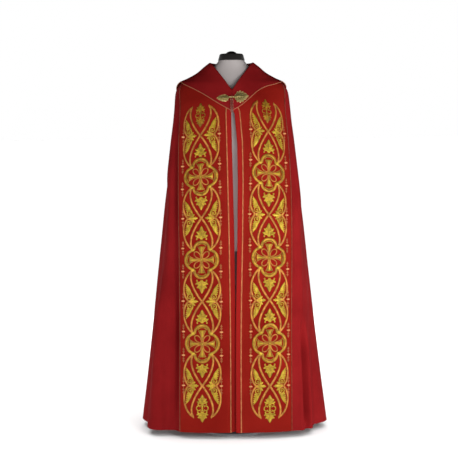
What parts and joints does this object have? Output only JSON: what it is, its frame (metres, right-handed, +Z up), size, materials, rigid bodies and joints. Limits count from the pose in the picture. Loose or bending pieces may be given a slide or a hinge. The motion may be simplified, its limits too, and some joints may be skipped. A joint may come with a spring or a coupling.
{
  "type": "cope vestment on dress form",
  "caption": "Long red cope with embroidered front bands, a wide folded collar and a leaf-shaped clasp with a short chain, worn on a limbless dress form that stands on a pole and a round foot.",
  "frame": {"origin": "middle of the whole footprint, on the floor", "axes": "+Z up, the front with the clasp faces -Y, +X to the right of someone who faces the front"},
  "size_m": [0.8288, 0.556, 1.6653],
  "materials": {
    "cloak": "matte red wool-like cloth, lined",
    "orphrey": "matte red cloth, stiffened",
    "braid": "copper-gold metallic thread",
    "clasp": "pale brass, satin",
    "form_cover": "grey-white cotton jersey",
    "neck_cap": "black",
    "steel": "grey satin"
  },
  "bodies": {
    "root": {"body_left": "cloak", "body_right": "cloak", "braid_inner_left": "braid", "braid_inner_right": "braid", "braid_outer_left": "braid", "braid_outer_right": "braid", "chain_left_1": "clasp", "chain_left_2": "clasp", "chain_left_3": "clasp", "chain_left_4": "clasp", "chain_left_5": "clasp", "chain_right_1": "clasp", "chain_right_2": "clasp", "chain_right_3": "clasp", "chain_right_4": "clasp", "chain_right_5": "clasp", "chain_ring": "clasp", "clasp_bar": "clasp", "clasp_leaf_left": "clasp", "clasp_leaf_right": "clasp", "collar": "cloak", "collar_piping": "braid", "form_neck_cap": "neck_cap", "form_torso": "form_cover", "orphrey_left": "orphrey", "orphrey_right": "orphrey", "stand_base": "steel", "stand_pole": "steel"}
  },
  "joints": []
}
